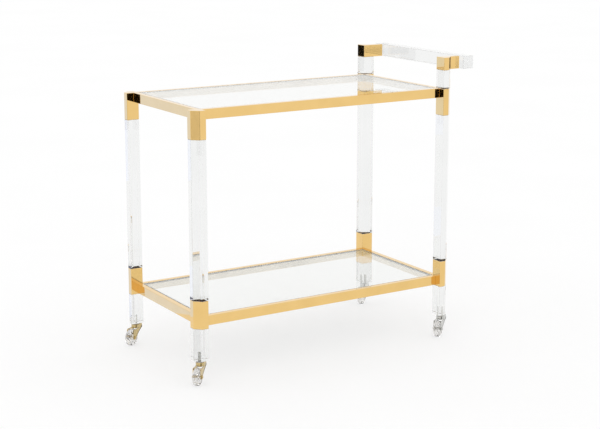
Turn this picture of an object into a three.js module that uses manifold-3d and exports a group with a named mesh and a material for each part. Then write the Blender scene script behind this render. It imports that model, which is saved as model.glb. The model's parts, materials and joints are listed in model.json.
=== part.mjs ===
// Bar cart on casters. Two clear glass shelves lie in brass-plated frames, each frame is four rails
// between four corner brackets, and clear acrylic legs plug into the brackets from below and above.
// At the handle end the legs run on up to two elbows, which carry a clear push bar.
// Millimetres, +Z up, origin on the floor under the middle of the object's box.
// +X runs to the handle end, and -Y is the front.

import * as THREE from 'three'
import { mergeVertices } from 'three/addons/utils/BufferGeometryUtils.js'
import Module from 'manifold-3d'

const wasm = await Module()
wasm.setup()

// Plan: the leg section is a square with its outer corner cut off at 45 degrees.
const LEG = 38
const CHAMFER = 19
const SPAN_X = 840
const SPAN_Y = 420
const HALF = LEG / 2

// Heights above the floor.
const LEG_FOOT = 66
const LOWER_BRACKET = 159
const UPPER_BRACKET = 690
const BRACKET_HEIGHT = 80
const ELBOW = 826
const TOP = 864

// Brackets are sleeves, and the legs' ends are stepped down to slip into them.
const SLEEVE_WALL = 2.5
const SLEEVE_PLAY = 0.3
const TENON = 24
const CAP = 3

// Rails: rectangular tube with a ledge welded inside for the glass.
const RAIL_WIDTH = 16
const RAIL_HEIGHT = 28
const RAIL_WALL = 1.5
const LOWER_RAIL = LOWER_BRACKET + 2
const UPPER_RAIL = UPPER_BRACKET + BRACKET_HEIGHT - RAIL_HEIGHT
const LEDGE_REACH = 9
const LEDGE_THICK = 3
const SEAT_THICK = 1
const SEAT_WIDTH = 6
const GLASS_THICK = 6
const GLASS_PLAY = 0.5

// Handle: a stub stands out of each elbow, and the push bar is bonded across their ends.
const STUB = 33

// Casters: threaded stem, fork with a drum round the stem, and a clear wheel that trails behind it.
const WHEEL_RADIUS = 25
const WHEEL_WIDTH = 18
const SHOULDER = 6
const SHOULDER_STEPS = 4
const RIM_DEPTH = 8
const DISH = 3
const TRAIL = 23
const AXLE_RADIUS = 3
const AXLE_HEAD_RADIUS = 5
const AXLE_HEAD = 2.7
const HUB_RADIUS = 7
const STEM_RADIUS = 4
const STEM_IN_LEG = 25
const RIVET_RADIUS = 7
const RIVET_HEAD = 2
const FLANGE_RADIUS = 12
const FLANGE_THICK = 1
const FORK_PLATE = 2
const FORK_GAP = 21
const FORK_TOP = 62
const FORK_FRONT = 17
const FORK_FRONT_DROP = 7
const CHEEK_BACK = 28
const CHEEK_SHOULDER = 50
const DRUM_RADIUS = 12.2
const DRUM_FOOT = 50
const EYE_RADIUS = 7
const NUT_RADIUS = 8
const NUT_HEIGHT = 2.4

// Clearance between pieces that turn or slide on each other, and how far cutters run past a face.
const PLAY = 0.3
const PAST = 1

const brass = { color: 0xe3bd72, roughness: 0.18, metalness: 1 }
const steel = { color: 0xb8b8b4, roughness: 0.35, metalness: 1 }
const acrylic = { color: 0xeef0ee, roughness: 0.05, metalness: 0 }
const clearGlass = { color: 0xe4ece8, roughness: 0.03, metalness: 0 }
const silicone = { color: 0xdfe2e0, roughness: 0.6, metalness: 0 }

// Everything is placed about the middle of the four legs.
const cart = new THREE.Group()

function place(name, geometry, finish, parent = cart) {
  const mesh = new THREE.Mesh(geometry, new THREE.MeshStandardMaterial(finish))
  mesh.name = name
  parent.add(mesh)
  return mesh
}

// A closed three.js geometry as a manifold solid, and back again.
function solid(geometry) {
  const bare = geometry.index ? geometry.toNonIndexed() : geometry.clone()
  bare.deleteAttribute('normal')
  bare.deleteAttribute('uv')
  const merged = mergeVertices(bare, 1e-4)
  return new wasm.Manifold(new wasm.Mesh({
    numProp: 3,
    vertProperties: new Float32Array(merged.attributes.position.array),
    triVerts: new Uint32Array(merged.index.array),
  }))
}

function geometryOf(body) {
  const mesh = body.getMesh()
  const geometry = new THREE.BufferGeometry()
  geometry.setAttribute('position', new THREE.BufferAttribute(mesh.vertProperties, 3))
  geometry.setIndex(new THREE.BufferAttribute(mesh.triVerts, 1))
  return geometry
}

// Box between two opposite corners.
function block(low, high) {
  const size = high.map((value, axis) => value - low[axis])
  const geometry = new THREE.BoxGeometry(...size)
  geometry.translate(...low.map((value, axis) => value + size[axis] / 2))
  return geometry
}

// Rectangular tube between two opposite corners, open at both ends along the given axis.
function tube(low, high, along) {
  const inset = (axis) => (axis === along ? -PAST : RAIL_WALL)
  const boreLow = low.map((value, axis) => value + inset(axis))
  const boreHigh = high.map((value, axis) => value - inset(axis))
  return solid(block(low, high)).subtract(solid(block(boreLow, boreHigh)))
}

// Upright cylinder from z0 to z1.
function rod(radius, z0, z1, sides = 20) {
  const geometry = new THREE.CylinderGeometry(radius, radius, z1 - z0, sides)
  geometry.rotateX(Math.PI / 2)
  geometry.translate(0, 0, (z0 + z1) / 2)
  return geometry
}

// Round bar along X from x0 to x1.
function crossRod(radius, x0, x1, sides = 20) {
  const geometry = new THREE.CylinderGeometry(radius, radius, x1 - x0, sides)
  geometry.rotateZ(Math.PI / 2)
  geometry.translate((x0 + x1) / 2, 0, 0)
  return geometry
}

// The leg section, drawn in by `inset` all round, as a prism from z0 to z1.
// sideX and sideY say which way the cut corner faces.
function legPrism(sideX, sideY, inset, z0, z1) {
  const half = HALF - inset
  const cut = CHAMFER - (2 - Math.SQRT2) * inset
  const outline = [[-half, -half], [half, -half], [half, half - cut], [half - cut, half], [-half, half]]
  const section = new THREE.Shape(outline.map(([x, y]) => new THREE.Vector2(x * sideX, y * sideY)))
  const geometry = new THREE.ExtrudeGeometry(section, { depth: z1 - z0, bevelEnabled: false })
  geometry.translate(0, 0, z0)
  return geometry
}

// Leg segment: full section between z0 and z1, with a tenon at each end that asks for one.
function legSegment(sideX, sideY, z0, z1, tenonBelow, tenonAbove) {
  const inset = SLEEVE_WALL + SLEEVE_PLAY
  let body = solid(legPrism(sideX, sideY, 0, z0, z1))
  if (tenonBelow) body = body.add(solid(legPrism(sideX, sideY, inset, z0 - TENON, z0 + PAST)))
  if (tenonAbove) body = body.add(solid(legPrism(sideX, sideY, inset, z1 - PAST, z1 + TENON)))
  return body
}

// Bracket: a sleeve open below, and above too unless it is the capped end of a leg.
function bracket(sideX, sideY, z0, capped) {
  const z1 = z0 + BRACKET_HEIGHT
  const bore = solid(legPrism(sideX, sideY, SLEEVE_WALL, z0 - PAST, capped ? z1 - CAP : z1 + PAST))
  return geometryOf(solid(legPrism(sideX, sideY, 0, z0, z1)).subtract(bore))
}

// Elbow: a short sleeve closed on top, with the stub standing out of its +X face.
function elbow(sideY) {
  const bore = solid(legPrism(1, sideY, SLEEVE_WALL, ELBOW - PAST, ELBOW + TENON + PAST))
  const stubY = [-HALF * sideY, (HALF - CHAMFER) * sideY].sort((a, b) => a - b)
  const stub = solid(block([HALF - PAST, stubY[0], ELBOW], [HALF + STUB, stubY[1], TOP]))
  return geometryOf(solid(legPrism(1, sideY, 0, ELBOW, TOP)).subtract(bore).add(stub))
}

const corners = [
  { name: 'front_left', sideX: -1, sideY: -1, trailAngle: 47 },
  { name: 'front_right', sideX: 1, sideY: -1, trailAngle: 56 },
  { name: 'back_left', sideX: -1, sideY: 1, trailAngle: 58 },
  { name: 'back_right', sideX: 1, sideY: 1, trailAngle: 52 },
]

// Legs, brackets and elbows, corner by corner.
for (const { name, sideX, sideY } of corners) {
  const x = sideX * SPAN_X / 2
  const y = sideY * SPAN_Y / 2
  const handleEnd = sideX > 0
  const lowerTop = LOWER_BRACKET + BRACKET_HEIGHT
  const upperTop = UPPER_BRACKET + BRACKET_HEIGHT

  const stemHole = solid(rod(STEM_RADIUS + PLAY, LEG_FOOT - PAST, LEG_FOOT + STEM_IN_LEG + PAST))
  const lowerLeg = legSegment(sideX, sideY, LEG_FOOT, LOWER_BRACKET, false, true).subtract(stemHole)
  place(`leg_lower_${name}`, geometryOf(lowerLeg), acrylic).position.set(x, y, 0)
  const lowerBracket = bracket(sideX, sideY, LOWER_BRACKET, false)
  place(`bracket_lower_${name}`, lowerBracket, brass).position.set(x, y, 0)
  const middleLeg = legSegment(sideX, sideY, lowerTop, UPPER_BRACKET, true, true)
  place(`leg_middle_${name}`, geometryOf(middleLeg), acrylic).position.set(x, y, 0)
  const upperBracket = bracket(sideX, sideY, UPPER_BRACKET, !handleEnd)
  place(`bracket_upper_${name}`, upperBracket, brass).position.set(x, y, 0)
  if (handleEnd) {
    const upperLeg = legSegment(sideX, sideY, upperTop, ELBOW, true, true)
    place(`leg_upper_${name}`, geometryOf(upperLeg), acrylic).position.set(x, y, 0)
    place(`handle_elbow_${name}`, elbow(sideY), brass).position.set(x, y, 0)
  }
}

// Push bar across the stubs, with its ends flush with the brackets' outer faces.
const barX = SPAN_X / 2 + HALF + STUB
const barEnd = SPAN_Y / 2 + HALF
const pushBar = block([barX, -barEnd, ELBOW], [barX + LEG, barEnd, TOP])
place('push_bar', pushBar, acrylic)

// One shelf frame: four rails with ledges, the seat strip on the ledges, and the glass on the strip.
function shelf(level, z0) {
  const z1 = z0 + RAIL_HEIGHT
  const insideX = SPAN_X / 2 - HALF
  const insideY = SPAN_Y / 2 - HALF
  const glassZ = z1 - PLAY - GLASS_THICK
  const ledgeZ = glassZ - SEAT_THICK

  for (const [name, side] of [['front', -1], ['back', 1]]) {
    const bar = tube([-insideX, 0, z0], [insideX, RAIL_WIDTH, z1], 0)
    const ledge = solid(block([-insideX, -LEDGE_REACH, ledgeZ - LEDGE_THICK], [insideX, RAIL_WALL, ledgeZ]))
    const rail = place(`rail_${level}_${name}`, geometryOf(bar.add(ledge)), brass)
    rail.rotation.z = side > 0 ? 0 : Math.PI
    rail.position.set(0, side * insideY, 0)
  }
  for (const [name, side] of [['left', -1], ['right', 1]]) {
    const ledgeEnd = insideY - LEDGE_REACH - PLAY
    const bar = tube([0, -insideY, z0], [RAIL_WIDTH, insideY, z1], 1)
    const ledgeLow = [-LEDGE_REACH, -ledgeEnd, ledgeZ - LEDGE_THICK]
    const ledge = solid(block(ledgeLow, [RAIL_WALL, ledgeEnd, ledgeZ]))
    const rail = place(`rail_${level}_${name}`, geometryOf(bar.add(ledge)), brass)
    rail.rotation.z = side > 0 ? 0 : Math.PI
    rail.position.set(side * insideX, 0, 0)
  }

  const stripOut = [insideX - GLASS_PLAY, insideY - GLASS_PLAY]
  const stripIn = [stripOut[0] - SEAT_WIDTH, stripOut[1] - SEAT_WIDTH]
  const stripBlock = block([-stripOut[0], -stripOut[1], ledgeZ], [stripOut[0], stripOut[1], glassZ])
  const hollowLow = [-stripIn[0], -stripIn[1], ledgeZ - PAST]
  const hollow = block(hollowLow, [stripIn[0], stripIn[1], glassZ + PAST])
  place(`glass_seat_${level}`, geometryOf(solid(stripBlock).subtract(solid(hollow))), silicone)
  const glass = block([-stripOut[0], -stripOut[1], glassZ], [stripOut[0], stripOut[1], z1 - PLAY])
  place(`glass_${level}`, glass, clearGlass)
}
shelf('lower', LOWER_RAIL)
shelf('upper', UPPER_RAIL)

// Turned profile about Z. The points are [radius, height] pairs, walked from the bottom outwards and up.
function turned(points, sides) {
  const geometry = new THREE.LatheGeometry(points.map(([r, z]) => new THREE.Vector2(r, z)), sides)
  geometry.rotateX(Math.PI / 2)
  return geometry
}

// Wheel: a solid disc with rounded shoulders, a dish each side and a raised hub, bored for the axle.
// Its profile runs up the outside and back down the bore, and the disc is then turned onto the X axis.
function wheel() {
  const half = WHEEL_WIDTH / 2
  const rimInside = WHEEL_RADIUS - RIM_DEPTH
  const bore = AXLE_RADIUS + PLAY
  const upper = [[bore, half], [HUB_RADIUS, half], [HUB_RADIUS + 1, half - DISH],
    [rimInside, half - DISH], [rimInside + 1, half]]
  for (let step = 1; step <= SHOULDER_STEPS; step += 1) {
    const turn = (step / SHOULDER_STEPS) * Math.PI / 2
    upper.push([WHEEL_RADIUS - SHOULDER * (1 - Math.sin(turn)), half - SHOULDER * (1 - Math.cos(turn))])
  }
  const lower = upper.map(([r, z]) => [r, -z])
  return turned([...lower, ...upper.reverse(), lower[0]], 36).rotateY(Math.PI / 2)
}

// Fork: a round drum for the stem, a hood in front of it, and two cheeks that reach back under the
// drum and taper down to the axle.
function fork() {
  const inner = FORK_GAP / 2
  const cheek = new THREE.Shape()
  cheek.moveTo(-FORK_FRONT, FORK_TOP)
  cheek.lineTo(0, FORK_TOP)
  cheek.lineTo(0, CHEEK_SHOULDER)
  cheek.lineTo(CHEEK_BACK, CHEEK_SHOULDER)
  cheek.lineTo(TRAIL + EYE_RADIUS, WHEEL_RADIUS + 1)
  cheek.absarc(TRAIL, WHEEL_RADIUS, EYE_RADIUS, 0, -Math.PI * 0.8, true)
  cheek.lineTo(-FORK_FRONT, FORK_TOP - FORK_FRONT_DROP)
  cheek.closePath()
  const plate = new THREE.ExtrudeGeometry(cheek, { depth: FORK_PLATE, bevelEnabled: false, curveSegments: 8 })
  // The outline's first axis points along the trail (-Y), its second up, and the thickness lies along X.
  plate.applyMatrix4(new THREE.Matrix4().makeBasis(
    new THREE.Vector3(0, -1, 0), new THREE.Vector3(0, 0, 1), new THREE.Vector3(-1, 0, 0)))
  const left = plate.clone().translate(-inner, 0, 0)
  const right = plate.clone().translate(inner + FORK_PLATE, 0, 0)
  const bridgeLow = [-inner - PAST, 0, FORK_TOP - FORK_PLATE]
  const bridge = block(bridgeLow, [inner + PAST, FORK_FRONT, FORK_TOP])
  const drum = rod(DRUM_RADIUS, DRUM_FOOT, FORK_TOP, 24)
  const reach = inner + FORK_PLATE + PAST
  const axleHole = crossRod(AXLE_RADIUS + PLAY, -reach, reach).translate(0, -TRAIL, WHEEL_RADIUS)
  const pivotHole = rod(STEM_RADIUS + PLAY, DRUM_FOOT - PAST, FORK_TOP + PAST)
  return geometryOf(solid(left).add(solid(right)).add(solid(bridge)).add(solid(drum))
    .subtract(solid(axleHole)).subtract(solid(pivotHole)))
}

// Stem: the rivet head under the fork's drum, the flange on top of it and the threaded end in one.
function stem() {
  const rivetTop = DRUM_FOOT - PLAY
  const flange = FORK_TOP + PLAY
  const end = LEG_FOOT + STEM_IN_LEG
  return turned([
    [0, rivetTop - RIVET_HEAD], [RIVET_RADIUS, rivetTop - RIVET_HEAD], [RIVET_RADIUS, rivetTop],
    [STEM_RADIUS, rivetTop], [STEM_RADIUS, flange],
    [FLANGE_RADIUS, flange], [FLANGE_RADIUS, flange + FLANGE_THICK], [STEM_RADIUS, flange + FLANGE_THICK],
    [STEM_RADIUS, end], [0, end],
  ], 24)
}

// Axle bolt: a shank through both fork plates with a round head at each end.
function axle() {
  const outside = FORK_GAP / 2 + FORK_PLATE + PLAY
  const heads = [-1, 1].map((side) => crossRod(AXLE_HEAD_RADIUS, 0, AXLE_HEAD)
    .translate(side > 0 ? outside : -outside - AXLE_HEAD, 0, 0))
  const shank = crossRod(AXLE_RADIUS, -outside - PAST, outside + PAST)
  return geometryOf(solid(shank).add(solid(heads[0])).add(solid(heads[1])))
}

// Nut: a thin hexagon between the stem's flange and the foot of the leg.
function nut() {
  const foot = LEG_FOOT - NUT_HEIGHT
  const hole = rod(STEM_RADIUS + PLAY, foot - PAST, LEG_FOOT + PAST)
  return geometryOf(solid(rod(NUT_RADIUS, foot, LEG_FOOT, 6)).subtract(solid(hole)))
}

// Casters, each left trailing at its own angle as it stopped rolling.
for (const { name, sideX, sideY, trailAngle } of corners) {
  const caster = new THREE.Group()
  caster.position.set(sideX * SPAN_X / 2, sideY * SPAN_Y / 2, 0)
  caster.rotation.z = -THREE.MathUtils.degToRad(trailAngle)
  place(`caster_stem_${name}`, stem(), steel, caster)
  place(`caster_nut_${name}`, nut(), steel, caster)
  place(`caster_fork_${name}`, fork(), brass, caster)
  place(`caster_wheel_${name}`, wheel(), acrylic, caster).position.set(0, -TRAIL, WHEEL_RADIUS)
  place(`caster_axle_${name}`, axle(), brass, caster).position.set(0, -TRAIL, WHEEL_RADIUS)
  cart.add(caster)
}

// The handle and the trailing wheels make the box lopsided about the legs, so the whole cart is
// moved to bring the origin under the middle of the box.
cart.updateMatrixWorld(true)
const middle = new THREE.Box3().setFromObject(cart, true).getCenter(new THREE.Vector3())
cart.position.set(-middle.x, -middle.y, 0)

export default cart
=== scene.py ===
"""Looks of a bar cart: clear acrylic legs and push bar, brass brackets and rails, two glass shelves, casters.

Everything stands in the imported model's own frame, in metres, with +Z up and -Y at the front.
"""

import json
import math

import bmesh
import bpy
from mathutils import Matrix, Vector


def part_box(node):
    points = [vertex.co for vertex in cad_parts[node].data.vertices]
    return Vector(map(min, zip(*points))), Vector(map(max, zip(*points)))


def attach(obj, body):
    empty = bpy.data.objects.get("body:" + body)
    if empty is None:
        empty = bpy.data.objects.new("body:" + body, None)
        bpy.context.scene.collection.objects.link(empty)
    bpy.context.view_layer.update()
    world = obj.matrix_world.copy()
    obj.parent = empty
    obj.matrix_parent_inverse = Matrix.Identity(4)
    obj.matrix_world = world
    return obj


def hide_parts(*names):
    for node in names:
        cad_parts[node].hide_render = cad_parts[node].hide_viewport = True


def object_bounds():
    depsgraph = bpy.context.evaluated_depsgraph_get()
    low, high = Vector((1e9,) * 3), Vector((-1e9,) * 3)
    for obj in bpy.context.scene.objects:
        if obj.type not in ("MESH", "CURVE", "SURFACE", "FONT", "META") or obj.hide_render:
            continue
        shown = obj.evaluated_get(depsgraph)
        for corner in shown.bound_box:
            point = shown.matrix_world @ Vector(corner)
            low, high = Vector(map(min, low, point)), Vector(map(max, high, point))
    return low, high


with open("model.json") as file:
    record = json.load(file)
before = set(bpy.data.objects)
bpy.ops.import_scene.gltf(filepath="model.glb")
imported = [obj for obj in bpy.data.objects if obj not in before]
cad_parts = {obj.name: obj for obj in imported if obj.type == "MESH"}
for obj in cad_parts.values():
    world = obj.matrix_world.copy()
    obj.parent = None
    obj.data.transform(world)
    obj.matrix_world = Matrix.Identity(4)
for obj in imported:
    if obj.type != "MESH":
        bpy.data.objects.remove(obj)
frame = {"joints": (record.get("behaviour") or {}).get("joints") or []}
cad_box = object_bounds()


# Legs: clear cast acrylic bar, square with its outer corner cut off at 45 degrees and its long edges
# eased. Every length is stepped down at its ends and plugs into the brass brackets, and the lowest
# ones are drilled from below for the caster stems.

MM = 0.001
CORNERS = {"front_left": (-1, -1), "front_right": (1, -1), "back_left": (-1, 1), "back_right": (1, 1)}
HANDLE_END = ("front_right", "back_right")
LEG_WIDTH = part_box("bracket_upper_front_left")[1].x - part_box("bracket_upper_front_left")[0].x
LEG_CUT = LEG_WIDTH / 2
SLEEVE_WALL = 2.5 * MM
SPIGOT_GAP = 0.3 * MM
EASED_EDGE = 0.9 * MM
JOINT_GAP = 0.12 * MM
STEM_HOLE = 4.3 * MM
STEM_HOLE_SIDES = 32
STEM_DEPTH = 25.2 * MM
SHARP_ANGLE = 50
MERGE_DISTANCE = 0.001 * MM
RIPPLE_HEIGHT = 0.2 * MM


def leg_section(mesh, corner, height):
    """One upright leg's section as a face at this height, with its cut corner facing outwards."""
    low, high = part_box(f"bracket_upper_{corner}")
    centre = (low + high) / 2
    side_x, side_y = CORNERS[corner]
    half = LEG_WIDTH / 2
    cut = half - LEG_CUT
    outline = [(-half, -half), (half, -half), (half, cut), (cut, half), (-half, half)]
    return mesh.faces.new([
        mesh.verts.new((centre.x + x * side_x, centre.y + y * side_y, height)) for x, y in outline])


def solid_from(mesh, face, travel):
    """Makes a loose face into a closed block by extruding it along travel, and returns the far face."""
    grown = bmesh.ops.extrude_face_region(mesh, geom=[face])["geom"]
    far = [part for part in grown if isinstance(part, bmesh.types.BMFace)][0]
    bmesh.ops.translate(mesh, vec=travel, verts=far.verts)
    return far


def push_out(mesh, face, travel):
    """Extrudes one face of a closed block along travel, out of it or into it."""
    end = bmesh.ops.extrude_discrete_faces(mesh, faces=[face])["faces"][0]
    bmesh.ops.translate(mesh, vec=travel, verts=end.verts)


def ease(mesh, edges, width, steps=2):
    """Rounds these edges over by a bevel of this width."""
    bmesh.ops.bevel(mesh, geom=edges, offset=width, offset_type="OFFSET", segments=steps,
                    profile=0.5, affect="EDGES", clamp_overlap=True, material=-1)


def sharp_edges(mesh, least_angle=25):
    """Edges where two faces meet at more than this angle, in degrees."""
    return [edge for edge in mesh.edges if edge.calc_face_angle(0) > math.radians(least_angle)]


def add_piece(prefix, node, mesh, finish, body, place=None):
    """Turns a finished mesh into a piece that rides on body and stands for this CAD node. Its normals
    are weighted by area, so that a flat face between eased edges stays flat to the eye."""
    bmesh.ops.remove_doubles(mesh, verts=mesh.verts, dist=MERGE_DISTANCE)
    if place is not None:
        bmesh.ops.transform(mesh, matrix=place, verts=mesh.verts)
    bmesh.ops.recalc_face_normals(mesh, faces=mesh.faces)
    data = bpy.data.meshes.new(f"{prefix}_{node}")
    mesh.to_mesh(data)
    mesh.free()
    data.shade_smooth()
    data.set_sharp_from_angle(angle=math.radians(SHARP_ANGLE))
    data.materials.append(finish)
    piece = bpy.data.objects.new(f"{prefix}_{node}", data)
    bpy.context.scene.collection.objects.link(piece)
    flat_faces = piece.modifiers.new("flat_faces", "WEIGHTED_NORMAL")
    flat_faces.weight = 100
    flat_faces.keep_sharp = True
    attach(piece, body)
    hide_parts(node)
    return piece


def new_finish(name):
    """An empty material, with its nodes, its shader and its object coordinates."""
    finish = bpy.data.materials.new(name)
    finish.use_nodes = True
    nodes = finish.node_tree.nodes
    shader = nodes["Principled BSDF"]
    coordinates = nodes.new("ShaderNodeTexCoord")
    return finish, nodes, finish.node_tree.links, shader, coordinates.outputs["Object"]


def add_noise(nodes, links, where, scale, detail=3.0, stretch=(1, 1, 1)):
    """Noise on these coordinates, drawn out by stretch. Returns its value."""
    mapping = nodes.new("ShaderNodeMapping")
    mapping.inputs["Scale"].default_value = stretch
    links.new(where, mapping.inputs["Vector"])
    noise = nodes.new("ShaderNodeTexNoise")
    noise.inputs["Scale"].default_value = scale
    noise.inputs["Detail"].default_value = detail
    links.new(mapping.outputs["Vector"], noise.inputs["Vector"])
    return noise.outputs["Fac"]


def spread(nodes, links, value, low, high):
    """Carries the middle of a noise's values over to the range from low to high."""
    ranged = nodes.new("ShaderNodeMapRange")
    ranged.inputs["From Min"].default_value = 0.3
    ranged.inputs["From Max"].default_value = 0.7
    ranged.inputs["To Min"].default_value = low
    ranged.inputs["To Max"].default_value = high
    links.new(value, ranged.inputs["Value"])
    return ranged.outputs["Result"]


def two_tones(nodes, links, value, first, second):
    """Blends two colours by a noise value."""
    mix = nodes.new("ShaderNodeMix")
    mix.data_type = "RGBA"
    mix.inputs["A"].default_value = (*first, 1)
    mix.inputs["B"].default_value = (*second, 1)
    links.new(spread(nodes, links, value, 0, 1), mix.inputs["Factor"])
    return mix.outputs["Result"]


def add_bump(nodes, links, value, shader, strength, distance):
    """Presses a noise value into the surface as a bump."""
    bump = nodes.new("ShaderNodeBump")
    bump.inputs["Strength"].default_value = strength
    bump.inputs["Distance"].default_value = distance
    links.new(value, bump.inputs["Height"])
    links.new(bump.outputs["Normal"], shader.inputs["Normal"])


def clear_finish(name, ior, first, second, roughest, ripple, clearness=1):
    """Clear solid: two hardly different tints, polish that varies a little, and slight ripple. With
    clearness below 1 it is a little milky."""
    finish, nodes, links, shader, where = new_finish(name)
    shader.inputs["Transmission Weight"].default_value = clearness
    shader.inputs["IOR"].default_value = ior
    cloud = add_noise(nodes, links, where, scale=9, detail=2)
    links.new(two_tones(nodes, links, cloud, first, second), shader.inputs["Base Color"])
    handling = add_noise(nodes, links, where, scale=34, detail=4)
    links.new(spread(nodes, links, handling, 0, roughest), shader.inputs["Roughness"])
    swell = add_noise(nodes, links, where, scale=22, detail=1, stretch=(1, 1, 0.25))
    add_bump(nodes, links, swell, shader, strength=ripple, distance=RIPPLE_HEIGHT)
    return finish


acrylic = clear_finish("clear_acrylic", 1.49, (0.905, 0.908, 0.903), (0.875, 0.88, 0.875),
                       roughest=0.004, ripple=0.003)


def acrylic_leg(node, corner, foot, head, spigot_below, spigot_above):
    """A length of leg between its shoulders, with spigots of these lengths below and above."""
    mesh = bmesh.new()
    bottom = leg_section(mesh, corner, foot + JOINT_GAP)
    top = solid_from(mesh, bottom, (0, 0, head - foot - 2 * JOINT_GAP))
    outside = list(mesh.edges)
    for end, reach in ((bottom, -spigot_below), (top, spigot_above)):
        if reach:
            bmesh.ops.inset_individual(mesh, faces=[end], thickness=SLEEVE_WALL + SPIGOT_GAP,
                                       use_even_offset=True)
            push_out(mesh, end, (0, 0, reach))
    if not spigot_below:
        centre = bottom.calc_center_bounds()
        low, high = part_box(f"caster_stem_{corner}")
        centre.xy = ((low + high) / 2).xy
        ring = bmesh.ops.create_circle(mesh, cap_ends=True, radius=STEM_HOLE, segments=STEM_HOLE_SIDES,
                                       matrix=Matrix.Translation(centre))["verts"]
        hole = ring[0].link_faces[0]
        rims = list(bottom.edges) + list(hole.edges)
        bmesh.ops.delete(mesh, geom=[bottom], context="FACES_ONLY")
        bmesh.ops.bridge_loops(mesh, edges=rims)
        push_out(mesh, hole, (0, 0, STEM_DEPTH))
    ease(mesh, outside, EASED_EDGE, 3)
    add_piece("acrylic", node, mesh, acrylic, "frame")


for corner in CORNERS:
    lower_foot, lower_head = (point.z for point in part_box(f"leg_lower_{corner}"))
    middle_foot, middle_head = (point.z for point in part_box(f"leg_middle_{corner}"))
    sleeve_low, sleeve_high = (point.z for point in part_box(f"bracket_lower_{corner}"))
    upper_sleeve_low, upper_sleeve_high = (point.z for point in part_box(f"bracket_upper_{corner}"))
    acrylic_leg(f"leg_lower_{corner}", corner, lower_foot, sleeve_low, 0, lower_head - sleeve_low)
    acrylic_leg(f"leg_middle_{corner}", corner, sleeve_high, upper_sleeve_low,
                sleeve_high - middle_foot, middle_head - upper_sleeve_low)
    if corner in HANDLE_END:
        upper_foot, upper_head = (point.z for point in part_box(f"leg_upper_{corner}"))
        elbow_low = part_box(f"handle_elbow_{corner}")[0].z
        acrylic_leg(f"leg_upper_{corner}", corner, upper_sleeve_high, elbow_low,
                    upper_sleeve_high - upper_foot, upper_head - elbow_low)


# Brackets: short brass sleeves that join the lengths of leg and carry the rails, mitred from plate,
# polished and lacquered. The two upper ones away from the handle are closed with a brass cap.

BRASS_EDGE = 1 * MM
CAP_THICK = 3 * MM
BUFFING_DEPTH = 0.15 * MM


def brass_finish(name, first, second, smoothest, roughest):
    """Polished brass under clear lacquer, with faint clouding and fine rubbing marks."""
    finish, nodes, links, shader, where = new_finish(name)
    shader.inputs["Metallic"].default_value = 1
    shader.inputs["Coat Weight"].default_value = 0.6
    shader.inputs["Coat Roughness"].default_value = 0.03
    cloud = add_noise(nodes, links, where, scale=14)
    links.new(two_tones(nodes, links, cloud, first, second), shader.inputs["Base Color"])
    rubbing = add_noise(nodes, links, where, scale=60, detail=5, stretch=(1, 1, 6))
    links.new(spread(nodes, links, rubbing, smoothest, roughest), shader.inputs["Roughness"])
    buffing = add_noise(nodes, links, where, scale=30, detail=2)
    add_bump(nodes, links, buffing, shader, strength=0.04, distance=BUFFING_DEPTH)
    return finish


brass = brass_finish("lacquered_brass", (0.86, 0.58, 0.215), (0.81, 0.54, 0.19),
                     smoothest=0.03, roughest=0.07)


def hollow_from(mesh, end, wall, travel):
    """Leaves a wall of this thickness round one end face and pushes the rest in along travel."""
    bmesh.ops.inset_individual(mesh, faces=[end], thickness=wall, use_even_offset=True)
    push_out(mesh, end, travel)


def bore_through(mesh, ends, wall):
    """Makes a tube of a block, with this wall, open at these two ends."""
    bmesh.ops.inset_region(mesh, faces=ends[0], thickness=wall, use_even_offset=True, use_boundary=True)
    bmesh.ops.inset_region(mesh, faces=ends[1], thickness=wall, use_even_offset=True, use_boundary=True)
    bmesh.ops.delete(mesh, geom=ends[0] + ends[1], context="FACES")
    bmesh.ops.bridge_loops(mesh, edges=[edge for edge in mesh.edges if edge.is_boundary])


for corner in CORNERS:
    for level in ("lower", "upper"):
        node = f"bracket_{level}_{corner}"
        low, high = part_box(node)
        mesh = bmesh.new()
        bottom = leg_section(mesh, corner, low.z)
        top = solid_from(mesh, bottom, (0, 0, high.z - low.z))
        if level == "upper" and corner not in HANDLE_END:
            hollow_from(mesh, bottom, SLEEVE_WALL, (0, 0, high.z - low.z - CAP_THICK))
        else:
            bore_through(mesh, ([bottom], [top]), SLEEVE_WALL)
        ease(mesh, sharp_edges(mesh), BRASS_EDGE)
        add_piece("brass", node, mesh, brass, "frame")


# Elbows: brass caps on the two tall legs, polished like the brackets. A flat stub stands out of each
# towards the handle, and the push bar is bonded across the stubs' ends.

for corner in HANDLE_END:
    node = f"handle_elbow_{corner}"
    low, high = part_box(node)
    leg_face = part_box(f"bracket_upper_{corner}")[1].x
    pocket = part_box(f"leg_upper_{corner}")[1].z - low.z + JOINT_GAP
    mesh = bmesh.new()
    bottom = leg_section(mesh, corner, low.z)
    solid_from(mesh, bottom, (0, 0, high.z - low.z))
    bmesh.ops.recalc_face_normals(mesh, faces=mesh.faces)
    mouth = [face for face in mesh.faces if face.normal.x > 0.99][0]
    push_out(mesh, mouth, (high.x - leg_face, 0, 0))
    hollow_from(mesh, bottom, SLEEVE_WALL, (0, 0, pocket))
    ease(mesh, sharp_edges(mesh), BRASS_EDGE)
    add_piece("brass", node, mesh, brass, "frame")


# Push bar: one length of clear acrylic bar, square, with its arrises eased and its ends polished. It is
# bonded across the ends of the elbows' stubs, with a hair's gap for the bond.


def block_between(mesh, low, high):
    """A box between two opposite corners."""
    place = Matrix.LocRotScale((low + high) / 2, None, high - low)
    bmesh.ops.create_cube(mesh, size=1, matrix=place)


mesh = bmesh.new()
low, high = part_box("push_bar")
block_between(mesh, low + Vector((JOINT_GAP, 0, 0)), high)
ease(mesh, list(mesh.edges), EASED_EDGE, 3)
add_piece("acrylic", "push_bar", mesh, acrylic, "frame")


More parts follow.
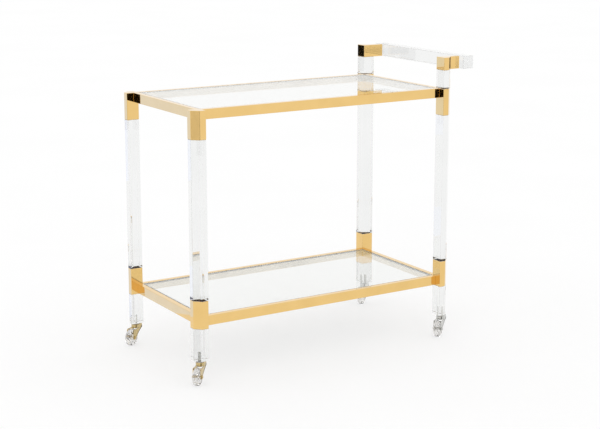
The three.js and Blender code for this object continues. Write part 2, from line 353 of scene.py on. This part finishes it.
# Rails: rectangular brass tube between the brackets, polished and lacquered, with a flat ledge welded
# along the inside for the glass to lie on. The side rails' ledges stop short of the long ones. The inner
# faces and the ledges are left bare.

RAIL_WIDTH = 16 * MM
RAIL_WALL = 1.5 * MM
RAIL_EDGE = 0.8 * MM
LEDGE_THICK = 3 * MM
LEDGE_CLEAR = 0.3 * MM
HAIR = 0.01 * MM

bare_metal = brass_finish("bare_metal", (0.80, 0.74, 0.62), (0.72, 0.67, 0.57),
                          smoothest=0.2, roughest=0.32)


def faces_at(mesh, axis, sign, where):
    """Faces that look along one axis and lie at this place on it."""
    return [face for face in mesh.faces if sign * face.normal[axis] > 0.99
            and abs(face.calc_center_median()[axis] - where) < HAIR]


def rail(level, side, outward):
    """A rail whose outer face looks along outward."""
    node = f"rail_{level}_{side}"
    low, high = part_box(node)
    along = 0 if outward.x == 0 else 1
    across = 1 - along
    ledge_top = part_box(f"glass_seat_{level}")[0].z
    reach = high[across] - low[across] - RAIL_WIDTH
    mesh = bmesh.new()
    tube_low, tube_high = low.copy(), high.copy()
    if outward[across] < 0:
        tube_high[across] -= reach
    else:
        tube_low[across] += reach
    block_between(mesh, tube_low, tube_high)
    cuts = [(Vector((0, 0, ledge_top)), Vector((0, 0, 1))),
            (Vector((0, 0, ledge_top - LEDGE_THICK)), Vector((0, 0, 1)))]
    if along == 1:
        for end, sign in ((tube_low, 1), (tube_high, -1)):
            stop = end.copy()
            stop.y += sign * (reach + LEDGE_CLEAR)
            cuts.append((stop, Vector((0, 1, 0))))
    for point, normal in cuts:
        bmesh.ops.bisect_plane(mesh, geom=list(mesh.verts) + list(mesh.edges) + list(mesh.faces),
                               plane_co=point, plane_no=normal)
    bmesh.ops.recalc_face_normals(mesh, faces=mesh.faces)
    inner = [face for face in mesh.faces if face.normal.dot(outward) < -0.99]
    ledge_root = [face for face in inner
                  if abs(face.calc_center_median().z - ledge_top + LEDGE_THICK / 2) < LEDGE_THICK / 4]
    ledge_root.sort(key=lambda face: face.calc_area())
    push_out(mesh, ledge_root[-1], -outward * reach)
    ends = (faces_at(mesh, along, -1, tube_low[along]), faces_at(mesh, along, 1, tube_high[along]))
    bore_through(mesh, ends, RAIL_WALL)
    ease(mesh, sharp_edges(mesh), RAIL_EDGE)
    inner_side = tube_high if outward[across] < 0 else tube_low
    for face in mesh.faces:
        if (inner_side - face.calc_center_median()).dot(outward) > -HAIR:
            face.material_index = 1
    piece = add_piece("brass", node, mesh, brass, "frame")
    piece.data.materials.append(bare_metal)


for level in ("lower", "upper"):
    rail(level, "front", Vector((0, -1, 0)))
    rail(level, "back", Vector((0, 1, 0)))
    rail(level, "left", Vector((-1, 0, 0)))
    rail(level, "right", Vector((1, 0, 0)))


# Shelves: clear tempered glass, 6 mm, with polished flat edges and eased arrises. Each one lies on a
# thin clear silicone strip that runs round the ledges.

GLASS_EDGE = 0.8 * MM
STRIP_WIDTH = 6 * MM
STRIP_EDGE = 0.25 * MM
STRIP_GRAIN = 0.05 * MM

shelf_glass = clear_finish("shelf_glass", 1.52, (0.925, 0.932, 0.92), (0.915, 0.922, 0.908),
                           roughest=0.01, ripple=0.02)


def silicone_finish():
    """Soft milky rubber, dusty in places."""
    finish, nodes, links, shader, where = new_finish("clear_silicone")
    cloud = add_noise(nodes, links, where, scale=40)
    links.new(two_tones(nodes, links, cloud, (0.78, 0.80, 0.78), (0.66, 0.68, 0.66)),
              shader.inputs["Base Color"])
    links.new(spread(nodes, links, cloud, 0.45, 0.65), shader.inputs["Roughness"])
    shader.inputs["Transmission Weight"].default_value = 0.5
    shader.inputs["IOR"].default_value = 1.41
    grain = add_noise(nodes, links, where, scale=900, detail=2)
    add_bump(nodes, links, grain, shader, strength=0.2, distance=STRIP_GRAIN)
    return finish


silicone = silicone_finish()

for level in ("lower", "upper"):
    low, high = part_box(f"glass_seat_{level}")
    underside = Vector(((low.x + high.x) / 2, (low.y + high.y) / 2, low.z + JOINT_GAP / 2))
    outer_size = (high.x - low.x, high.y - low.y, 1)
    mesh = bmesh.new()
    bmesh.ops.create_grid(mesh, x_segments=1, y_segments=1, size=0.5,
                          matrix=Matrix.LocRotScale(underside, None, outer_size))
    bay = list(mesh.faces)
    bmesh.ops.inset_region(mesh, faces=bay, thickness=STRIP_WIDTH, use_even_offset=True, use_boundary=True)
    bmesh.ops.delete(mesh, geom=bay, context="FACES")
    grown = bmesh.ops.extrude_face_region(mesh, geom=list(mesh.faces))["geom"]
    raised = [part for part in grown if isinstance(part, bmesh.types.BMVert)]
    bmesh.ops.translate(mesh, vec=(0, 0, high.z - low.z - JOINT_GAP), verts=raised)
    ease(mesh, sharp_edges(mesh), STRIP_EDGE)
    add_piece("strip", f"glass_seat_{level}", mesh, silicone, "frame")

    low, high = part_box(f"glass_{level}")
    mesh = bmesh.new()
    block_between(mesh, low + Vector((0, 0, JOINT_GAP / 2)), high)
    ease(mesh, list(mesh.edges), GLASS_EDGE, 2)
    add_piece("shelf", f"glass_{level}", mesh, shelf_glass, "frame")


# Casters: a zinc-plated threaded stem, a pressed and plated fork with a round polished drum for the
# stem, and a clear moulded wheel on an axle bolt. The wheel trails behind the stem, so each caster is
# made about its own stem and then turned to its joints' places. At the handle end the casters get a
# paler, greyer copy of the same plating: a painted reflection of the chrome-like look they take on there.

STEM_RADIUS = 4 * MM
STEM_TIP = 1 * MM
THREAD_PITCH = 1.25 * MM
THREAD_DEPTH = 0.3 * MM
FLANGE_RADIUS = 12 * MM
FLANGE_THICK = 1 * MM
RIVET_RADIUS = 7 * MM
RIVET_THICK = 2 * MM
RIVET_ROUND = 1.2 * MM
NUT_RADIUS = 8 * MM
NUT_EDGE = 0.4 * MM
TURNING_GAP = 0.3 * MM
FORK_PLATE = 2 * MM
FORK_HALF = 12.5 * MM
FORK_FRONT = 17 * MM
FORK_FRONT_DROP = 7 * MM
FORK_BEND = 2.6 * MM
FORK_EDGE = 0.35 * MM
CHEEK_BACK = 28 * MM
DRUM_RADIUS = 12.4 * MM
DRUM_HEIGHT = 12 * MM
DRUM_ROUND = 2.5 * MM
EYE_RADIUS = 7 * MM
AXLE_RADIUS = 3 * MM
AXLE_HEAD_RADIUS = 5 * MM
AXLE_HEAD = 2.7 * MM
AXLE_HEAD_ROUND = 1.6 * MM
SOCKET_MOUTH = 2.1 * MM
SOCKET_FLOOR = 1.9 * MM
SOCKET_DEPTH = 1.2 * MM
WHEEL_WIDTH = 18 * MM
HUB_RADIUS = 7 * MM
HUB_EDGE = 0.5 * MM
HUB_FOOT = 1.5 * MM
BORE_EDGE = 0.4 * MM
RIM_DEPTH = 8 * MM
SHOULDER = 6 * MM
DISH = 3 * MM
DISH_ROUND = 1 * MM
LAY_DOWN = Matrix.Rotation(math.pi / 2, 4, "Y")

gold_plating = brass_finish("gold_plating", (0.66, 0.49, 0.20), (0.52, 0.41, 0.20),
                            smoothest=0.05, roughest=0.12)
# A paler, greyer copy of the caster plating for the handle end: a painted reflection, since the plating is
# the same and only looks chrome-like there from what it reflects.
handle_end_plating_painted_reflection = brass_finish("handle_end_plating_painted_reflection", (0.62, 0.62, 0.59), (0.50, 0.50, 0.47),
                            smoothest=0.06, roughest=0.14)
zinc = brass_finish("zinc_plating", (0.92, 0.92, 0.90), (0.84, 0.84, 0.82),
                    smoothest=0.16, roughest=0.26)
wheel_clear = clear_finish("clear_wheel", 1.49, (0.90, 0.885, 0.87), (0.83, 0.82, 0.80),
                           roughest=0.12, ripple=0.06, clearness=0.86)


def turned(mesh, profile, steps=48):
    """Spins a profile of (radius, height) points about the upright axis into a closed shape."""
    points = [mesh.verts.new((radius, 0, height)) for radius, height in profile]
    lines = [mesh.edges.new(pair) for pair in zip(points, points[1:])]
    if profile[0][0] > 0:
        lines.append(mesh.edges.new((points[-1], points[0])))
    bmesh.ops.spin(mesh, geom=points + lines, cent=(0, 0, 0), axis=(0, 0, 1), dvec=(0, 0, 0),
                   angle=math.tau, steps=steps, use_merge=True, use_duplicate=False)
    bmesh.ops.remove_doubles(mesh, verts=mesh.verts, dist=MERGE_DISTANCE)


def arc(centre, radius, start, end, steps):
    """Points on a circle from one angle to another, in degrees, both ends included."""
    angles = [math.radians(start + (end - start) * step / steps) for step in range(steps + 1)]
    return [(centre[0] + radius * math.cos(angle), centre[1] + radius * math.sin(angle))
            for angle in angles]


def caster_stem(node, fork_top, place):
    """Rivet head, flange and threaded end, in one turned piece."""
    low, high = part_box(node)
    head = low.z + RIVET_THICK
    flange = fork_top + TURNING_GAP
    thread_start = flange + FLANGE_THICK
    flange_round = FLANGE_THICK / 2
    profile = [(0, low.z), (RIVET_RADIUS - RIVET_ROUND, low.z)]
    profile += arc((RIVET_RADIUS - RIVET_ROUND, low.z + RIVET_ROUND), RIVET_ROUND, -90, 0, 8)
    profile += [(RIVET_RADIUS, head), (STEM_RADIUS, head), (STEM_RADIUS, flange)]
    profile += arc((FLANGE_RADIUS - flange_round, flange + flange_round), flange_round, -90, 90, 12)
    profile += [(STEM_RADIUS, thread_start)]
    turns = int((high.z - thread_start - STEM_TIP) / THREAD_PITCH)
    for turn in range(turns):
        root = thread_start + (turn + 0.5) * THREAD_PITCH
        profile += [(STEM_RADIUS - THREAD_DEPTH, root), (STEM_RADIUS, root + THREAD_PITCH / 2)]
    profile += [(STEM_RADIUS - STEM_TIP, high.z), (0, high.z)]
    mesh = bmesh.new()
    turned(mesh, profile, 32)
    add_piece("zinc", node, mesh, zinc, "frame", place)


def caster_nut(node, place):
    """Thin hexagonal nut between the stem's flange and the foot of the leg."""
    low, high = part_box(node)
    mesh = bmesh.new()
    ring = bmesh.ops.create_circle(mesh, cap_ends=True, radius=NUT_RADIUS, segments=6,
                                   matrix=Matrix.Translation((0, 0, low.z)))["verts"]
    bottom = ring[0].link_faces[0]
    top = solid_from(mesh, bottom, (0, 0, high.z - low.z - JOINT_GAP))
    bore_through(mesh, ([bottom], [top]), NUT_RADIUS * math.cos(math.pi / 6) - STEM_RADIUS - TURNING_GAP)
    ease(mesh, sharp_edges(mesh), NUT_EDGE)
    add_piece("zinc", node, mesh, zinc, "frame", place)


def cheek(mesh, outline, inside, outside):
    """One flat plate of this (back, height) outline between two distances from the middle."""
    face = mesh.faces.new([mesh.verts.new((inside, -back, height)) for back, height in outline])
    solid_from(mesh, face, (outside - inside, 0, 0))


def is_bend(edge, top):
    """Whether an edge runs from front to back along one of the hood's two upper corners."""
    ends = [vert.co for vert in edge.verts]
    at_corner = all(abs(abs(end.x) - FORK_HALF) < HAIR and end.z > top - HAIR for end in ends)
    return at_corner and abs(ends[0].y - ends[1].y) > MM


def caster_fork(node, finish, body, place, trail, axle_height):
    """A round drum for the stem, a hood in front of it, and two cheeks that reach back under the drum
    and taper down to the axle, all one pressed part whose shapes pass a little into each other."""
    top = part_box(node)[1].z
    shoulder = top - DRUM_HEIGHT
    inside = FORK_HALF - FORK_PLATE
    eye = arc((trail, axle_height), EYE_RADIUS, 8, -150, 12)
    lower = [(-FORK_FRONT, shoulder), (CHEEK_BACK, shoulder)] + eye + [
        (-FORK_FRONT, top - FORK_FRONT_DROP)]
    mesh = bmesh.new()
    for side in (-1, 1):
        cheek(mesh, lower, side * inside, side * FORK_HALF)
    hood = mesh.faces.new([mesh.verts.new((x, 0, z)) for x, z in (
        (-FORK_HALF, shoulder), (-inside, shoulder), (-inside, top - FORK_PLATE),
        (inside, top - FORK_PLATE), (inside, shoulder), (FORK_HALF, shoulder),
        (FORK_HALF, top), (-FORK_HALF, top))])
    solid_from(mesh, hood, (0, FORK_FRONT, 0))
    bmesh.ops.recalc_face_normals(mesh, faces=mesh.faces)
    ease(mesh, [edge for edge in mesh.edges if is_bend(edge, top)], FORK_BEND, 6)
    ease(mesh, sharp_edges(mesh, 35), FORK_EDGE)
    bore = STEM_RADIUS + TURNING_GAP
    drum = [(bore, shoulder)]
    drum += arc((DRUM_RADIUS - DRUM_ROUND, shoulder + DRUM_ROUND), DRUM_ROUND, -90, 0, 8)
    drum += arc((DRUM_RADIUS - DRUM_ROUND, top - DRUM_ROUND), DRUM_ROUND, 0, 90, 8)
    drum += [(bore, top)]
    turned(mesh, drum)
    add_piece("plated", node, mesh, finish, body, place)


def caster_wheel(node, body, place, radius):
    """Clear moulded wheel: rounded shoulders, a dish each side round the hub, bored for the axle."""
    half = WHEEL_WIDTH / 2
    bore = AXLE_RADIUS + TURNING_GAP
    rim_inside = radius - RIM_DEPTH
    dish_turn = half - DISH + DISH_ROUND
    half_profile = [(bore, half - BORE_EDGE), (bore + BORE_EDGE, half), (HUB_RADIUS - HUB_EDGE, half),
                    (HUB_RADIUS, half - HUB_EDGE)]
    half_profile += arc((HUB_RADIUS + HUB_FOOT, dish_turn), DISH_ROUND, 200, 270, 5)
    half_profile += arc((rim_inside - DISH_ROUND, dish_turn), DISH_ROUND, 270, 340, 5)
    half_profile += arc((radius - SHOULDER, half - SHOULDER), SHOULDER, 90, 0, 10)
    profile = half_profile + [(r, -z) for r, z in reversed(half_profile)]
    mesh = bmesh.new()
    turned(mesh, profile, 72)
    add_piece("clear", node, mesh, wheel_clear, body, place @ LAY_DOWN)


def caster_axle(node, finish, body, place):
    """Axle bolt: a shank through the cheeks, with a low domed head and a socket at each end."""
    outside = FORK_HALF + TURNING_GAP
    crown = outside + AXLE_HEAD
    upper = [(AXLE_RADIUS, outside), (AXLE_HEAD_RADIUS, outside)]
    upper += arc((AXLE_HEAD_RADIUS - AXLE_HEAD_ROUND, crown - AXLE_HEAD_ROUND), AXLE_HEAD_ROUND, 0, 90, 8)
    upper += [(SOCKET_MOUTH, crown), (SOCKET_FLOOR, crown - SOCKET_DEPTH), (0, crown - SOCKET_DEPTH)]
    profile = [(r, -z) for r, z in reversed(upper)] + upper
    mesh = bmesh.new()
    turned(mesh, profile, 32)
    add_piece("plated", node, mesh, finish, body, place @ LAY_DOWN)


joint_at = {joint["name"]: Vector(joint["pos_m"]) for joint in frame["joints"]}
for corner in CORNERS:
    swivel = joint_at[f"swivel_{corner}_turn"]
    hub = joint_at[f"wheel_{corner}_spin"]
    trail = (hub - swivel).xy
    heading = math.atan2(trail.x, -trail.y)
    stand = Matrix.Translation((swivel.x, swivel.y, 0)) @ Matrix.Rotation(heading, 4, "Z")
    at_hub = Matrix.Translation(hub) @ Matrix.Rotation(heading, 4, "Z")
    # The handle end's casters take the paler copy of the plating, a painted reflection.
    plating_and_painted_reflection = handle_end_plating_painted_reflection if corner in HANDLE_END else gold_plating
    fork = f"caster_fork_{corner}"
    caster_stem(f"caster_stem_{corner}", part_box(fork)[1].z, stand)
    caster_nut(f"caster_nut_{corner}", stand)
    caster_fork(fork, plating_and_painted_reflection, f"swivel_{corner}", stand, trail.length, hub.z)
    caster_wheel(f"caster_wheel_{corner}", f"wheel_{corner}", at_hub, hub.z)
    caster_axle(f"caster_axle_{corner}", plating_and_painted_reflection, f"swivel_{corner}", at_hub)


# Room: a plain pale floor, an even white sky and a soft key light from the upper left. Boards that only
# reflections and clear parts show stand round the cart: black for the inner corners, the elbows and the
# casters' drums, grey for the cut corners, and glowing bluish white ones that throw a painted cool
# reflection onto the faces at the left end.

floor_finish, nodes, links, shader, where = new_finish("pale_floor")
shader.inputs["Roughness"].default_value = 0.9
shader.inputs["Specular IOR Level"].default_value = 0
shader.inputs["Emission Color"].default_value = (1, 1, 1, 1)
shader.inputs["Emission Strength"].default_value = 0.62
paper = add_noise(nodes, links, where, scale=1.5, detail=2)
links.new(two_tones(nodes, links, paper, (0.365, 0.365, 0.365), (0.355, 0.355, 0.355)),
          shader.inputs["Base Color"])


def flag_finish(name, shade):
    """Matt cloth of this brightness."""
    finish, nodes, links, shader, where = new_finish(name)
    shader.inputs["Roughness"].default_value = 1
    shader.inputs["Specular IOR Level"].default_value = 0
    cloth = add_noise(nodes, links, where, scale=30, detail=2)
    links.new(two_tones(nodes, links, cloth, (shade,) * 3, (shade * 0.9,) * 3),
              shader.inputs["Base Color"])
    return finish


black_flag = flag_finish("black_flag", 0.01)
grey_flag = flag_finish("grey_flag", 0.85)
cool_card = flag_finish("cool_card", 0)
# The cool card glows bluish white, though it is no lamp: a painted cool reflection on the brass at the left
# end.
card_shader = cool_card.node_tree.nodes["Principled BSDF"]
card_shader.inputs["Emission Color"].default_value = (0.9, 1.05, 1.5, 1)
card_shader.inputs["Emission Strength"].default_value = 1


def stage_plane(name, finish, place):
    """A flat square that isn't part of the cart."""
    mesh = bmesh.new()
    bmesh.ops.create_grid(mesh, x_segments=1, y_segments=1, size=0.5, matrix=place)
    data = bpy.data.meshes.new(name)
    mesh.to_mesh(data)
    mesh.free()
    data.materials.append(finish)
    plane = bpy.data.objects.new(name, data)
    bpy.context.scene.collection.objects.link(plane)
    return plane


def flag(name, finish, azimuth, distance, start, width, low, high, seen_through_glass=False):
    """A flag facing start, at this azimuth in degrees, counted from the back towards the handle end."""
    angle = math.radians(azimuth)
    away = Vector((math.sin(angle), math.cos(angle), 0))
    centre = Vector((start.x, start.y, (low + high) / 2)) + away * distance
    place = (Matrix.Translation(centre) @ Matrix.Rotation(-angle, 4, "Z")
             @ Matrix.Rotation(math.pi / 2, 4, "X") @ Matrix.Diagonal((width, high - low, 1, 1)))
    board = stage_plane(name, finish, place)
    board.visible_camera = False
    board.visible_diffuse = False
    board.visible_transmission = seen_through_glass
    board.visible_shadow = False


stage_plane("pale_floor", floor_finish, Matrix.Diagonal((160, 160, 1, 1)))
middle = Vector((0, 0, 0))
left_end = Vector((cad_box[0].x, 0, 0))
front_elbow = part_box("handle_elbow_front_right")[0]
back_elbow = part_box("handle_elbow_back_right")[0]
flag("flag_front", black_flag, azimuth=211, distance=2.9, start=middle, width=1.1, low=0.18, high=0.52,
     seen_through_glass=True)
flag("flag_handle_end", black_flag, azimuth=128, distance=3.45, start=front_elbow, width=0.5,
     low=0.32, high=0.6)
flag("flag_left", grey_flag, azimuth=238, distance=2.9, start=middle, width=1.4, low=0, high=0.7)
flag("flag_back", black_flag, azimuth=-34.4, distance=3.9, start=back_elbow, width=0.4, low=0.3, high=0.6)
flag("cool_card_low", cool_card, azimuth=-31, distance=0.45, start=left_end, width=1.1, low=0, high=0.17)
flag("cool_card_high", cool_card, azimuth=-31, distance=0.45, start=left_end, width=1.1,
     low=0.45, high=0.8)
for corner in CORNERS:
    flag(f"flag_{corner}", black_flag, azimuth=186, distance=0.11, start=joint_at[f"swivel_{corner}_turn"],
         width=0.05, low=0.013, high=0.04)

world = bpy.data.worlds.new("white_room")
bpy.context.scene.world = world
world.use_nodes = True
world.node_tree.nodes["Background"].inputs["Color"].default_value = (1, 1, 1, 1)
world.node_tree.nodes["Background"].inputs["Strength"].default_value = 1

key = bpy.data.lights.new("key", "SUN")
key.energy = 0.22
key.angle = math.radians(30)
key_light = bpy.data.objects.new("key", key)
key_light.rotation_euler = (math.radians(30), math.radians(-38), 0)
bpy.context.scene.collection.objects.link(key_light)

scene = bpy.context.scene
scene.view_settings.view_transform = "Standard"
scene.cycles.max_bounces = 24
scene.cycles.transmission_bounces = 24
scene.cycles.glossy_bounces = 12
scene.cycles.diffuse_bounces = 4


# Camera: a long lens, a little above the top shelf, off the front left corner. It looks down a little,
# and its small shift only centres the cart in the frame.

CAMERA_FROM_LEGS = Vector((-2.1455, -3.5148, 0))
CAMERA_HEIGHT = 1.3295
CAMERA_YAW = 31.855
CAMERA_PITCH = 11.362

lens = bpy.data.cameras.new("camera")
lens.sensor_width = 36
lens.lens = 83.8
lens.shift_y = -0.06
lens.clip_end = 300
camera = bpy.data.objects.new("camera", lens)
camera.location = (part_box("bracket_lower_front_left")[0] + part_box("bracket_lower_back_right")[1]) / 2
camera.location += CAMERA_FROM_LEGS
camera.location.z = CAMERA_HEIGHT
camera.rotation_euler = (math.radians(90 - CAMERA_PITCH), 0, math.radians(-CAMERA_YAW))
scene.collection.objects.link(camera)
scene.camera = camera
